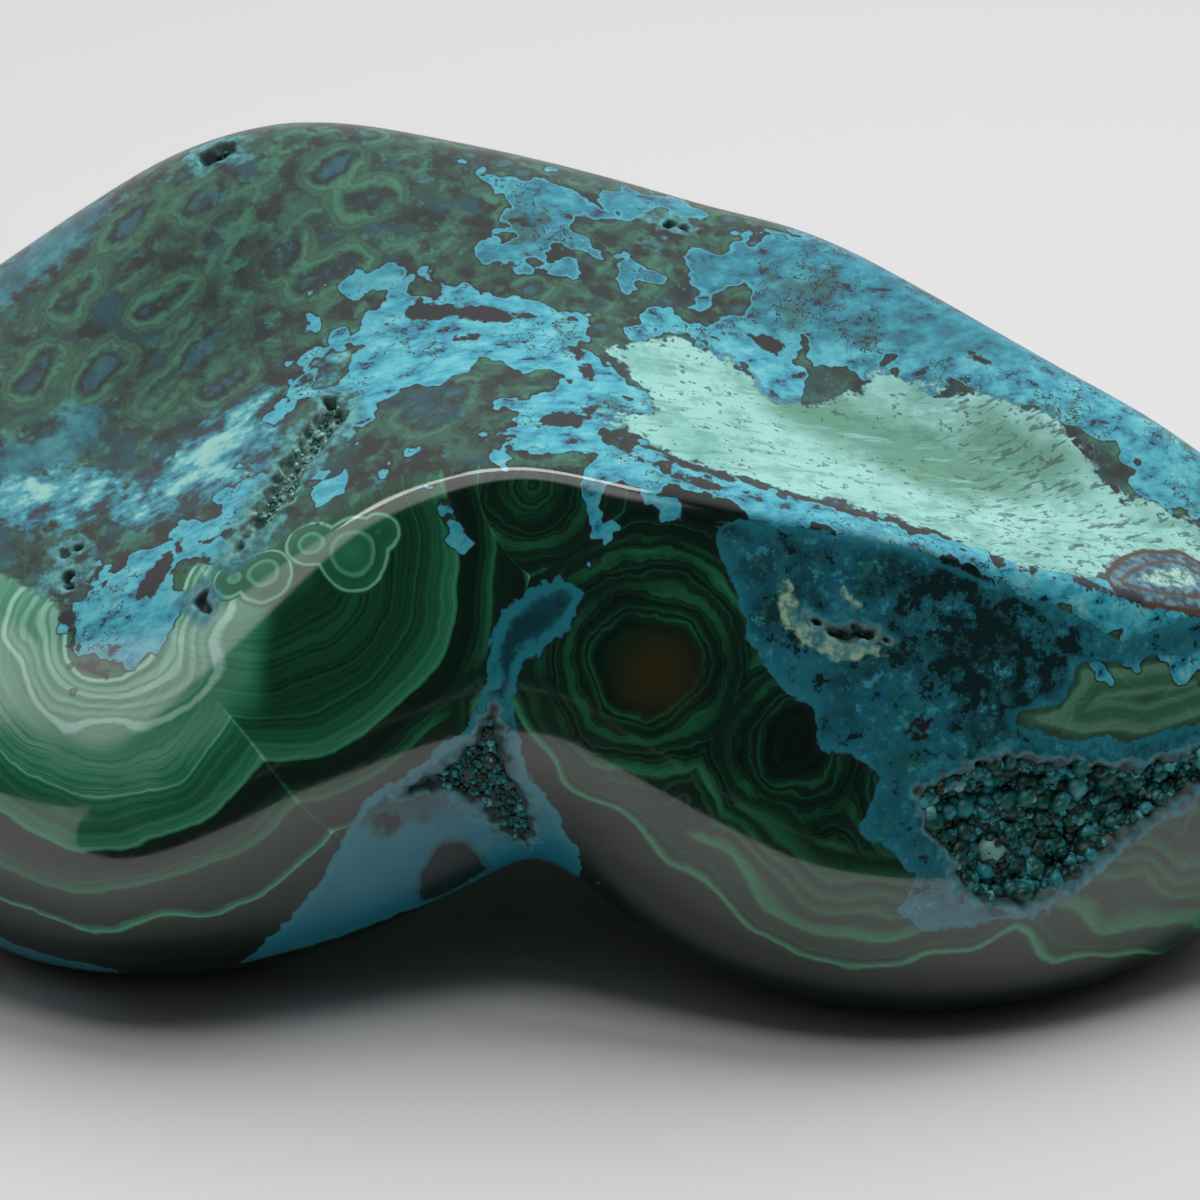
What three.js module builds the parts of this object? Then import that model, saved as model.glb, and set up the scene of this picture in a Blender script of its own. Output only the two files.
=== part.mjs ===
// A polished freeform of chrysocolla and malachite: one solid stone, about 106 mm long, that stands on two
// flat-ground feet with a low arch between them. Units are millimetres, +Z is up, +X is to the viewer's right
// and the front of the stone faces -Y. The origin is on the floor, under the middle of the stone.
//
// The stone is drawn the way a hull is: named lines run along it from tip to tip, and at every x a closed
// section passes through all of them. The lines close on the tips as an ellipsoid does, so the ends are round.

import * as THREE from "three";
import { mergeVertices } from "three/addons/utils/BufferGeometryUtils.js";

// Driving dimensions.
const LEFT_TIP = new THREE.Vector3(-57, 4, 21);
const RIGHT_TIP = new THREE.Vector3(49, 0, 14);
const FACE_STEPS = 24; // quads along each edge of the six faces of the starting cube
const FOOT_ROUNDING = 1.2; // how far above the floor the ground feet start to round up

// The lines, in the order in which a section meets them: up the front, over the top, down the back and
// under the sole. A line's turn, in degrees, is where it lies on the starting ball: 0 faces the front and 90
// faces up. Its points are [x, y, z] with x rising, and it has only the points that it needs.
const LINES = {
  // Most forward line: two bellies with a hollow between them.
  belly: {
    turn: 0,
    points: [
      [-48, -8.5, 12], [-38, -15.5, 9.5], [-30, -19.7, 9.5], [-22, -19.6, 12], [-14, -17.5, 16],
      [-6, -15.5, 18], [0, -17.5, 16], [6, -19.5, 14], [12, -21, 12], [20, -21, 11], [28, -18.5, 8.5],
      [36, -14, 9.5], [44, -8.5, 11],
    ],
  },
  // Just under the ridge. On the left, where the ridge is a soft shoulder, it keeps its distance.
  brow: {
    turn: 42,
    points: [
      [-48, -9.2, 15.5], [-38, -15.8, 13], [-30, -19.4, 15], [-24, -18.8, 20], [-18, -16.4, 26],
      [-12, -13.2, 30.5], [-5, -12.1, 33], [2, -13.5, 32.6], [12, -13.9, 30.6], [22, -13.7, 28.1],
      [32, -11.8, 24.9], [43, -7.6, 18.5],
    ],
  },
  ridge: {
    turn: 54,
    points: [
      [-48, -8.6, 20.5], [-38, -15, 17.5], [-30, -18.2, 19.5], [-24, -17, 25], [-18, -14.4, 30.3],
      [-12, -12, 33.3], [-5, -11.5, 34.8], [2, -12.8, 34], [12, -13.2, 32], [22, -13, 29.5],
      [32, -11, 26.3], [43, -6.6, 21],
    ],
  },
  // Just behind the ridge, where the top begins.
  shelf: {
    turn: 66,
    points: [
      [-48, -5.5, 26.5], [-38, -11, 23.8], [-30, -13.5, 25.3], [-24, -12.2, 29], [-18, -10, 32.6],
      [-12, -8.8, 34.9], [-5, -9.8, 35.5], [2, -11.5, 34.6], [12, -11.9, 32.5], [22, -11.7, 30],
      [32, -9.8, 26.8], [43, -5, 22.6],
    ],
  },
  // The shallow dish of the top.
  dish: {
    turn: 102,
    points: [
      [-48, 3, 31.5], [-38, 1, 31], [-28, 1, 33], [-20, 2, 36.8], [-10, 3, 39], [2, 3, 38.3],
      [12, 2, 34.5], [22, 0, 31.5], [32, -2, 28.8], [43, 0, 24.5],
    ],
  },
  // The skyline, seen from in front.
  crest: {
    turn: 140,
    points: [
      [-47, 14, 34], [-40, 19, 37.8], [-34, 20, 41.6], [-28, 20, 45.2], [-21, 20, 47.3], [-9, 20, 45.9],
      [0, 20, 43.8], [7, 18, 42.3], [14, 16, 41], [22, 12, 37.9], [28, 9, 35.2], [37, 6, 30.8],
      [43, 5, 26],
    ],
  },
  nape: {
    turn: 165,
    points: [
      [-47, 20, 28], [-34, 28, 36], [-20, 29, 40], [0, 28, 37], [14, 24, 33], [28, 16, 29],
      [43, 10, 20.5],
    ],
  },
  back: {
    turn: 190,
    points: [
      [-47, 21, 19], [-34, 30, 20], [-20, 32, 22], [0, 31, 20], [14, 27, 18], [28, 20, 16],
      [43, 11.5, 13],
    ],
  },
  heel: {
    turn: 225,
    points: [
      [-47, 15, 9], [-34, 25, 5], [-20, 27, 4], [0, 26, 5], [14, 23, 4], [28, 16.5, 4.5], [43, 8.5, 6],
    ],
  },
  // Under the stone: two feet, and the arch that runs back between them.
  sole_back: {
    turn: 255,
    points: [
      [-47, 8, 5], [-34, 14, -1.5], [-20, 15, -1.5], [-6, 12, 3], [2, 12, 3], [14, 12, -1.5],
      [28, 8, -1.5], [43, 4, 3],
    ],
  },
  sole_front: {
    turn: 285,
    points: [
      [-47, 2, 4], [-34, 0, -1.5], [-20, 0, -1.5], [-9, 0, 4], [-3.5, 0, 8], [4, 0, 4], [14, 0, -1.5],
      [28, 0, -1.5], [43, -1, 3],
    ],
  },
  toe: {
    turn: 320,
    points: [
      [-48, -3.5, 6], [-38, -9.8, 1.5], [-29, -13.3, 1.5], [-20, -13.6, 3], [-12, -12.3, 5.6],
      [-7, -11.5, 7.8], [-3.5, -11, 9], [-0.5, -12, 6.8], [5, -14.5, 3.8], [12, -17, 2],
      [20, -17.7, 1.2], [30, -15, 1.5], [38, -10, 2.8], [44, -5.5, 5.5],
    ],
  },
};

const HALF_LENGTH = (RIGHT_TIP.x - LEFT_TIP.x) / 2;
const MIDDLE_X = (RIGHT_TIP.x + LEFT_TIP.x) / 2;

// Along the stone, a place is an angle: 0 at the left tip, and PI at the right one.
const angleAt = (x) => Math.acos((MIDDLE_X - x) / HALF_LENGTH);
const xAt = (angle) => MIDDLE_X - HALF_LENGTH * Math.cos(angle);

// The straight line between the tips.
function axisAt(x) {
  return new THREE.Vector3().lerpVectors(LEFT_TIP, RIGHT_TIP, (x - LEFT_TIP.x) / (2 * HALF_LENGTH));
}

// A line as a smooth function of the angle. It holds how far the line stands off the axis, as a share of an
// ellipsoid's radius there, so that every line runs round into the tips as an ellipsoid does.
function lineCurve(points) {
  const angles = points.map(([x]) => angleAt(x));
  const offsets = points.flatMap(([x, y, z], i) => {
    const axis = axisAt(x);
    return [(y - axis.y) / Math.sin(angles[i]), (z - axis.z) / Math.sin(angles[i])];
  });
  const curve = new THREE.CubicInterpolant(angles, offsets, 2);
  return (angle) => {
    const held = THREE.MathUtils.clamp(angle, angles[0], angles.at(-1));
    const [y, z] = curve.evaluate(held);
    return [y, z];
  };
}

const lines = Object.values(LINES).map(({ turn, points }) => ({ turn, curve: lineCurve(points) }));

// The closed section at an angle along the stone.
function sectionAt(angle) {
  const axis = axisAt(xAt(angle));
  const radius = Math.sin(angle);
  const points = lines.map(({ curve }) => {
    const [y, z] = curve(angle);
    return new THREE.Vector3(axis.x, axis.y + y * radius, axis.z + z * radius);
  });
  return new THREE.CatmullRomCurve3(points, true, "centripetal");
}

// How far round a section a turn leads, from 0 to 1: each line is met at its own turn.
function shareAt(turn) {
  const next = lines.findIndex((line) => line.turn > turn);
  const from = (next < 0 ? lines.length : next) - 1;
  const end = next < 0 ? 360 : lines[next].turn;
  return (from + (turn - lines[from].turn) / (end - lines[from].turn)) / lines.length;
}

// Grinds the feet flat: what would lie under the floor is brought up to it, with a rounded rim.
function ground(z) {
  if (z > FOOT_ROUNDING) return z;
  if (z < -FOOT_ROUNDING) return 0;
  return (z + FOOT_ROUNDING) ** 2 / (4 * FOOT_ROUNDING);
}

// The point of the stone that a direction from its middle leads to.
function surfacePoint(direction) {
  const angle = Math.acos(THREE.MathUtils.clamp(-direction.x, -1, 1));
  if (Math.sin(angle) < 1e-6) return (direction.x < 0 ? LEFT_TIP : RIGHT_TIP).clone();
  const turn = THREE.MathUtils.radToDeg(Math.atan2(direction.z, -direction.y));
  const point = sectionAt(angle).getPoint(shareAt((turn + 360) % 360));
  point.z = ground(point.z);
  return point;
}

// An even ball of quads: a cube's faces, bent so that their lines lie at equal angles, then drawn onto the
// stone.
function stoneGeometry() {
  const box = new THREE.BoxGeometry(2, 2, 2, FACE_STEPS, FACE_STEPS, FACE_STEPS);
  box.deleteAttribute("normal");
  box.deleteAttribute("uv");
  const geometry = mergeVertices(box);
  const place = geometry.attributes.position;
  const direction = new THREE.Vector3();
  for (let i = 0; i < place.count; i++) {
    direction.fromBufferAttribute(place, i);
    for (const k of ["x", "y", "z"]) direction[k] = Math.tan((direction[k] * Math.PI) / 4);
    const point = surfacePoint(direction.normalize());
    place.setXYZ(i, point.x, point.y, point.z);
  }
  geometry.computeBoundingBox();
  const { min, max } = geometry.boundingBox;
  geometry.translate(-(min.x + max.x) / 2, -(min.y + max.y) / 2, -min.z);
  geometry.computeVertexNormals();
  return geometry;
}

const stone = new THREE.Mesh(
  stoneGeometry(),
  new THREE.MeshStandardMaterial({ color: 0x1f6f66, roughness: 0.12, metalness: 0 }),
);
stone.name = "stone";

const specimen = new THREE.Group();
specimen.add(stone);

export default specimen;
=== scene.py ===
# %% [markdown]
# # A polished freeform of chrysocolla and malachite
#
# The object is one stone. Green malachite grew as banded nodules, blue chrysocolla filled the gaps between
# them, and a polisher then ground and shone the outside. What is left to make here is the finish: the
# polished skin with its pits, the crystals that line them, and a rock pattern that runs through the whole
# body.
#
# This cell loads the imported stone, which fixes the place and size of everything else.

# %% Load the frame
import math
import random

import bmesh
import bpy
import numpy as np
from mathutils import Euler, Matrix, Vector, noise
from mathutils.bvhtree import BVHTree


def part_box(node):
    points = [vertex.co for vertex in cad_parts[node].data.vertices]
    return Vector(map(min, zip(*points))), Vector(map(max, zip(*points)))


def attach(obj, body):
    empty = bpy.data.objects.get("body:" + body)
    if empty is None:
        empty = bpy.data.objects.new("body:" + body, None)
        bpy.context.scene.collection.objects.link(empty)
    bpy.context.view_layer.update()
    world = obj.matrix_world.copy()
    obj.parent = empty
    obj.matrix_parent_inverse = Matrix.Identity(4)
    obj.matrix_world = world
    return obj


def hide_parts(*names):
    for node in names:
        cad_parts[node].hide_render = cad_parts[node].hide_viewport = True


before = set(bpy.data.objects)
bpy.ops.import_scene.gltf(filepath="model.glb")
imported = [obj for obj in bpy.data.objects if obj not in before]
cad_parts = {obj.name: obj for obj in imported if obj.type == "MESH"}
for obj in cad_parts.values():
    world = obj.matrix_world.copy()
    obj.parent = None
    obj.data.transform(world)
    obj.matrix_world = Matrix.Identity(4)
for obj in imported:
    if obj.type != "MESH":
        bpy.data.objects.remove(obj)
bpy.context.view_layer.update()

MM = 0.001
LOW, HIGH = (Vector(corner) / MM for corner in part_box("stone"))
MIDDLE = (LOW + HIGH) / 2
print("stone, mm:", [round(size, 1) for size in HIGH - LOW])

# %% [markdown]
# ## The polished skin
#
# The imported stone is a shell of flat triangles. Its edges come from an even net of quads, so joining pairs
# of triangles gives that net back, and a Subdivision Surface then rounds it. A sculpted or remeshed copy
# would be as smooth, but it would lose the clean lines that reflections follow along the ridge.

# %% Give the stone its quads back and round it
SKIN_LEVELS = 2
MODEL_LEVELS = 3


def linked(name, mesh):
    piece = bpy.data.objects.new(name, mesh)
    bpy.context.collection.objects.link(piece)
    return piece


def mesh_from(shape, name):
    mesh = bpy.data.meshes.new(name)
    shape.to_mesh(mesh)
    shape.free()
    for polygon in mesh.polygons:
        polygon.use_smooth = True
    return mesh


def quads_of_node(name):
    shape = bmesh.new()
    shape.from_mesh(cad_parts[name].data)
    bmesh.ops.remove_doubles(shape, verts=shape.verts, dist=0.001 * MM)
    bmesh.ops.join_triangles(
        shape, faces=shape.faces, angle_face_threshold=math.pi, angle_shape_threshold=math.pi
    )
    return shape


def rounded(name, levels):
    piece = linked(name, mesh_from(quads_of_node("stone"), name))
    rounding = piece.modifiers.new("rounding", "SUBSURF")
    rounding.levels = levels
    rounding.render_levels = levels
    shape = bmesh.new()
    shape.from_object(piece, bpy.context.evaluated_depsgraph_get())
    bpy.data.objects.remove(piece)
    return shape


skin = rounded("skin", SKIN_LEVELS)
model = BVHTree.FromBMesh(rounded("model", MODEL_LEVELS))
print("skin faces:", len(skin.faces))

# %% [markdown]
# ## Places on the stone
#
# A vein or a patch is drawn as a mason would chalk it on the stone: as an outline of a few points, in
# millimetres, in the stone's own frame. The script then measures how deep inside each outline every vertex
# lies. That depth is positive inside, zero at the edge and negative outside, and it is kept on the mesh as an
# attribute, so the material can put a rim, a border line or a ragged edge wherever it likes.

# %% Measure how deep a point lies inside an outline or a strand


def unit(vector):
    return vector / np.linalg.norm(vector)


def distance_to_segment(points, start, end):
    along = end - start
    share = np.clip((points - start) @ along / (along @ along), 0, 1)
    return np.linalg.norm(points - start - share[:, None] * along, axis=1), share


def depth_in_outline(points, outline, reach=7.0):
    """Depth in a flat-ish patch. Reach is how far above or below its own plane the patch goes."""
    corners = np.array(outline, float)
    centre = corners.mean(axis=0)
    facing = unit(np.cross(corners - centre, np.roll(corners, -1, axis=0) - centre).sum(axis=0))
    across = unit(np.cross(facing, (0.0, 0.0, 1.0) if abs(facing[2]) < 0.9 else (1.0, 0.0, 0.0)))
    axes = np.stack([across, np.cross(facing, across)], axis=1)
    flat_points = (points - centre) @ axes
    flat_corners = (corners - centre) @ axes
    nearest = np.full(len(points), np.inf)
    inside = np.zeros(len(points), bool)
    for start, end in zip(flat_corners, np.roll(flat_corners, -1, axis=0)):
        nearest = np.minimum(nearest, distance_to_segment(flat_points, start, end)[0])
        crosses = (start[1] > flat_points[:, 1]) != (end[1] > flat_points[:, 1])
        rise = end[1] - start[1] if end[1] != start[1] else 1.0
        edge = start[0] + (flat_points[:, 1] - start[1]) / rise * (end[0] - start[0])
        inside ^= crosses & (flat_points[:, 0] < edge)
    depth = np.where(inside, nearest, -nearest)
    return np.minimum(depth, reach - np.abs((points - centre) @ facing))


def depth_in_strand(points, route):
    """Depth in a vein that runs through the given (x, y, z, radius) places."""
    depth = np.full(len(points), -np.inf)
    for start, end in zip(route, route[1:] or route):
        if start == end:
            end = [start[0] + 0.01, *start[1:]]
        gap, share = distance_to_segment(points, np.array(start[:3], float), np.array(end[:3], float))
        depth = np.maximum(depth, start[3] + share * (end[3] - start[3]) - gap)
    return depth


def depth_in_any(points, outlines=(), strands=()):
    depths = [depth_in_outline(points, outline) for outline in outlines]
    depths += [depth_in_strand(points, strand) for strand in strands]
    return np.max(depths, axis=0)


# %% [markdown]
# ## Pits
#
# Where the chrysocolla didn't fill its cavity, the polisher cut into open pits. They are real hollows here,
# not a bump in the material, because their edges catch the light. The skin is cut finer around each one
# first, and the new vertices are laid back on the rounded stone, so that the polish around a pit stays
# smooth.

# %% Draw the pits
DRUSE_PIT = [
    (26, -24, 18), (28.5, -23, 18.5), (32, -21.5, 17.5), (37.5, -20, 16.5), (42, -17, 16.5),
    (42, -17.5, 14.5), (38, -20, 13), (35, -22, 11.5), (33, -23.5, 10), (30.5, -24.5, 9.5),
    (28, -25.5, 9.5), (26, -26, 11), (25.5, -26, 13), (24, -26, 14.5), (23, -25, 17), (24.5, -24.5, 17.5),
]
VALLEY_DRUSE = [
    (-2.5, -21, 21), (-2, -21, 19), (-1.5, -21, 16.5), (-0.5, -20.5, 14.5), (0, -19, 11.5), (-0.5, -18, 10.5),
    (-1.5, -19, 11), (-3, -20.5, 13.5), (-4, -21, 14.5), (-6, -21.5, 15.5), (-8, -22.5, 15.5),
    (-6.5, -22, 16.5), (-5, -21.5, 17.5), (-3.5, -21, 19),
]
CREVICE = [
    (-13, -7.5, 36), (-12, -8, 36), (-11.5, -9, 35.5), (-12, -10.5, 35), (-13, -11.5, 34.5),
    (-14.5, -13.5, 33.5), (-15, -15.5, 32), (-16, -16.5, 31.5), (-17.5, -17, 30.5), (-18.5, -18, 29.5),
    (-17.5, -16, 30.5), (-17, -14.5, 31.5), (-15.5, -11.5, 33.5), (-14.5, -9, 35),
]
CREVICE_ENDS = [
    [(-13.2, -7.3, 36.1), (-12, -7.8, 36.1), (-12, -9, 35.6), (-13.2, -9, 35.5)],
    [(-16.5, -16.3, 31.5), (-18.8, -18.2, 29.3), (-17.6, -16, 30.6)],
]
CREAM_SLIT = [(16.5, -21.5, 27), (18, -21.5, 26.5), (20, -21.5, 26.5), (21.5, -21.5, 25.5), (18.5, -22, 25.5)]
SMALL_VUGS = [
    [(-29.5, -12.5, 28), (-28.5, -12.5, 28), (-29, -13.5, 27)],
    [(-29.5, -15, 27), (-28.5, -14, 27.5), (-28.5, -15.5, 26.5)],
    [(-21, -19.5, 27.5), (-20, -19, 28), (-19.5, -20.5, 27), (-20, -20.5, 26.5)],
    [(8, 9.5, 42.5), (9, 9, 42.5), (10, 8, 42), (8.5, 8.5, 42)],
]
CREST_VUG = [(-22.5, 13, 46), (-20, 13.5, 46.5), (-19.5, 12, 46), (-22, 11.5, 45)]

PITS = [
    # outline, depth, how far in from the edge the floor of the pit is reached
    (DRUSE_PIT, 1.6, 0.9),
    (VALLEY_DRUSE, 0.5, 0.5),
    (CREVICE, 0.9, 0.6),
    *((end, 1.6, 0.5) for end in CREVICE_ENDS),
    (CREAM_SLIT, 1.5, 0.5),
    (CREST_VUG, 1.2, 0.6),
    *((vug, 1.0, 0.4) for vug in SMALL_VUGS),
]
RAGGED_EDGE = 0.6
RAGGED_SCALE = 1.4


def edge_wander(points):
    """How far the edge of a pit strays from its outline, so that no pit looks drawn."""
    return np.array([noise.noise(Vector(point) * RAGGED_SCALE) for point in points]) * RAGGED_EDGE


def depth_in_pits(points):
    return depth_in_any(points, outlines=[outline for outline, _, _ in PITS]) + edge_wander(points)


# %% Cut the skin finer around the pits and lay it back on the rounded stone
PIT_MARGIN = 0.9
PIT_CUTS = 3


def places(elements):
    return np.array([element.co for element in elements]) / MM


near_pit = depth_in_pits(np.array([face.calc_center_median() for face in skin.faces]) / MM) > -PIT_MARGIN
fine_edges = {edge for face, near in zip(skin.faces, near_pit) if near for edge in face.edges}
bmesh.ops.subdivide_edges(skin, edges=list(fine_edges), cuts=PIT_CUTS, use_grid_fill=True)
for vertex in skin.verts:
    vertex.co = model.find_nearest(vertex.co)[0]
print("edges cut:", len(fine_edges), "skin faces:", len(skin.faces))

# %% [markdown]
# ## The map of the minerals
#
# These are the chalk lines. A list of places is an outline, and a list whose places have a fourth number is a
# strand with that radius. Only the large shapes are drawn. Noise in the material breaks their edges up later.

# %% Draw the blues
LEFT_PATCH = [
    (-22.5, -14, 29.5), (-20.5, -14.5, 30.5), (-20.5, -16, 29.5), (-21.5, -18, 28.5), (-22, -20, 26.5),
    (-22.5, -21, 25.5), (-25.5, -21.5, 24), (-27.5, -20.5, 23.5), (-28.5, -18.5, 24.5), (-29, -17, 25.5),
    (-27, -15.5, 27), (-25, -14.5, 28),
]
SADDLE_BLUE = [
    (-12, -5, 37), (-10.5, -1, 39), (-8.5, 0.5, 40), (-5.5, 1, 40.5), (-1.5, 0, 40), (1.5, -0.5, 39.5),
    (4, -3.5, 38.5), (6.5, -8, 37), (6.5, -10.5, 36), (4.5, -12.5, 36), (1.5, -15.5, 35.5), (-1, -16.5, 35),
    (-3, -13, 36), (-2, -11.5, 36.5), (1.5, -8.5, 37.5), (1, -7, 38), (-3.5, -5.5, 38), (-6.5, -8, 37),
    (-10.5, -8, 36.5),
]
CREST_BLUE = [
    (-3, 10.5, 45), (-0.5, 12, 45), (4.5, 11.5, 43.5), (7, 10, 43), (2.5, 8.5, 43), (1.5, 7.5, 43),
    (4.5, 5, 41.5), (2, 4.5, 41.5), (3, 3, 41), (0, 1.5, 40.5), (-2.5, 3.5, 41.5), (-2.5, 7, 43.5),
]
RIM_BLUE = [
    (7.5, 5.5, 41), (12, 8, 41.5), (14, 9, 41), (20, 11.5, 39.5), (27, 9, 37), (35, 6, 33.5),
    (42, 4, 29.5), (48, -1, 24), (46, -7, 24), (42, -8, 26.5), (39, -5, 29.5), (35, -3, 31.5),
    (29.5, -1.5, 33.5), (23, -0.5, 35), (17, 0.5, 36.5), (16, -3.5, 34.5), (14.5, -4.5, 35), (13, -1.5, 36),
    (10.5, -0.5, 37.5), (5.5, -1.5, 38.5), (10.5, 2, 38.5), (13.5, 3.5, 39), (9.5, 4, 40),
]
UNDER_MINT_BLUE = [
    (1.5, -14.5, 36), (5, -13.5, 35.5), (10, -16, 34), (16, -16.5, 32.5), (22, -17, 31), (30, -17, 28.5),
    (37, -15, 27), (42, -13, 24), (43, -16, 21), (36, -18, 23.5), (30, -19, 27), (22, -19, 30.5),
    (10, -19, 33.5), (4, -17.5, 35),
]
SMALL_BLUES = [
    [(-10.5, 1, 40.5), (-8, 2.5, 41), (-6.5, 1, 40.5), (-8.5, 0, 40.5)],
    [(4.5, 3.5, 41), (6.5, 4.5, 41), (7.5, 3.5, 40.5), (4.5, 2, 40)],
    [(5.5, 12.5, 43.5), (12, 11, 42), (11, 9.5, 42), (6.5, 10.5, 43)],
]
BLUE_STRANDS = [
    [(-17.5, -12.5, 32.5, 0.9), (-19, -15, 31, 1.1), (-20.5, -16.5, 29.5, 1.2)],
    [(-5, -18, 32, 0.5), (-3.5, -18.5, 30.5, 0.5)],
    [(3.5, -18.5, 33.5, 0.5), (3.5, -19, 31.5, 0.6)],
    [(-14, -15, 33, 0.4), (-12.5, -16, 33, 0.6)],
    [(-9.5, -13.5, 34.5, 0.5), (-9, -14.5, 34.5, 0.4)],
    [(-11, -10, 35.5, 0.7), (-12, -7.5, 36.2, 0.8), (-13.5, -7, 36.3, 0.5)],
    [(-15.5, -7, 35.5, 0.6), (-14, -4.5, 36.8, 0.9), (-12, -2.5, 38, 0.5)],
    [(-14, -1, 38.8, 0.3), (-12.5, 0, 39.8, 0.4), (-10.5, 1, 40.5, 0.3)],
]
VALLEY_BLUE = [
    (-2, -19.5, 27), (0.5, -19.5, 28), (1.5, -19.5, 29), (3, -20, 28), (2.5, -20.5, 26.5),
    (-0.5, -20.5, 24), (-1, -21, 22.5), (-1.5, -21, 20.5), (-0.5, -21, 16.5), (1.5, -21, 13.5),
    (3, -20, 10), (2.5, -18, 7.5), (0, -16.5, 7), (-7.5, -17.5, 5.5), (-15, -19.5, 3.5), (-18.5, -20, 2.5),
    (-16, -22, 6), (-13.5, -23, 9), (-12, -23.5, 12), (-11, -23.5, 15), (-8, -23, 16.5), (-5, -22, 18.5),
    (-3.5, -21.5, 20.5), (-3, -21, 22), (-2.5, -20, 25),
]
VALLEY_STRANDS = [
    [(2.5, -20, 9, 0.8), (4.5, -20.5, 7, 0.5), (7, -21, 4.5, 0.25), (9, -21, 3, 0.1)],
    [(-33, -17, 3, 1.2), (-28, -19.5, 2, 0.9), (-24, -20, 1, 0.4)],
]
RIGHT_FIELD = [
    (11, -19, 32.5), (11, -19.5, 31), (12, -20.5, 29), (13, -22, 25.5), (15, -23, 23), (17, -23.5, 22),
    (17, -24.5, 20), (19.5, -24.5, 19), (21, -25, 18), (19.5, -26, 14.5), (21.5, -26.5, 14),
    (23, -26.5, 12), (22, -26.5, 9.5), (24, -26.5, 8.5), (27, -26, 8.5), (31, -24.5, 8.5),
    (35, -22.5, 10.5), (37.5, -20.5, 12.5), (43, -16.5, 14), (44, -14, 18), (41, -17, 18),
    (37.5, -19.5, 18), (35.5, -20, 18.5), (33.5, -21, 18.5), (29.5, -22, 20), (29, -21.5, 20.5),
    (32, -20.5, 21), (33, -19.5, 22), (33, -19, 23), (37, -17.5, 22.5), (43, -14, 22), (44, -12.5, 24),
    (36, -17.5, 24), (28.5, -19, 28), (22, -19.5, 31),
]
BACK_BLUES = [
    [(-30, 26, 27), (-21, 27, 31), (-9, 26, 29), (-1, 26, 22), (-8, 27, 16), (-17, 27, 19)],
    [(14, 19, 31), (26, 14, 28), (33, 10, 22), (27, 14, 13), (17, 20, 17)],
]
BACK_STRANDS = [
    [(-4, 26, 22, 1.0), (5, 25, 26, 0.5), (14, 21, 25, 1.2)],
    [(-12, 26, 14, 0.9), (-9, 22, 7, 0.6), (-5, 14, 4, 0.9)],
]
TEAL_PATCH = [
    (-36, -3, 31), (-31.5, -3.5, 32), (-29, -2, 33.5), (-27, -1.5, 34), (-27.5, -4.5, 32),
    (-31.5, -6.5, 30.5), (-36, -7, 29),
]

# %% Draw the pale minerals, the brown stains and the eyes
CLOUD = [
    (-27, -11, 29.5), (-25, -8.5, 31), (-22.5, -6.5, 32.5), (-20, -5, 34.5), (-17.5, -5, 35.5),
    (-16, -7.5, 35), (-16, -10, 34), (-17.5, -12, 32.5), (-19.5, -12.5, 31.5), (-24, -12.5, 29.5),
]
PALE_LEFT = [(-36, -7, 29), (-30.5, -6.5, 30.5), (-26.5, -7, 31), (-26, -10.5, 29.5), (-36, -10, 28)]
FAR_LEFT = [
    (-45, 5, 33), (-38, 12, 37), (-33, 14, 40), (-28.5, 15, 43), (-27.5, 12, 43), (-31, 9, 39.5),
    (-36, 7, 36.5), (-45, 1, 31),
]
CLOUD_STRANDS = [[(-15.5, -6.5, 35.5, 0.5), (-13.8, -4, 37, 0.9), (-12.8, -3, 37.5, 0.4)]]
MINT = [
    (4.5, -4.5, 38), (6.5, -2.5, 38), (9, -1.5, 38), (13, -2, 36), (14.5, -4, 35), (16, -4, 34.5),
    (19, -3, 34), (21.5, 0, 35.5), (27, -1, 34.5), (33.5, -2, 32.5), (35, -4, 31), (37, -6.5, 29),
    (42, -6, 27.5), (44, -9, 25), (40, -11, 26.5), (37, -12, 27.5), (35, -15.5, 27.5), (32, -17, 28),
    (28.5, -17.5, 29.5), (22.5, -16, 31.5), (16, -15.5, 33), (9.5, -15, 34.5), (7, -13.5, 35.5),
    (4.5, -12, 36), (6.5, -10.5, 36.5), (8, -8.5, 36.5), (5.5, -6, 37.5),
]
DISH_GREEN = [[(17, -5, 34.2, 3.0), (24, -6.5, 32.8, 5.0), (31, -5.5, 31.5, 4.0)]]
BROWN_SPOTS = [
    [(-9, -1, 39.5), (-7.5, 0, 40), (-4, -0.5, 40), (0.5, -1.5, 39.5), (-2.5, -2, 39.5), (-7, -2, 39)],
    [(0, -12.5, 36.5), (1.5, -11.5, 36.5), (4, -10, 36.5), (3, -12.5, 36)],
    [(-2.5, -14, 35.5), (-1, -14, 36), (-1, -16, 35.5)],
    [(-24.5, -18, 27), (-23.5, -16, 28), (-22, -15, 29.2), (-21.8, -16, 29), (-23, -18, 27.5)],
    [(13.5, 1, 37.5), (15.5, 1.5, 37), (16, 0.5, 36.5), (15, -0.5, 36)],
]
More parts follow.
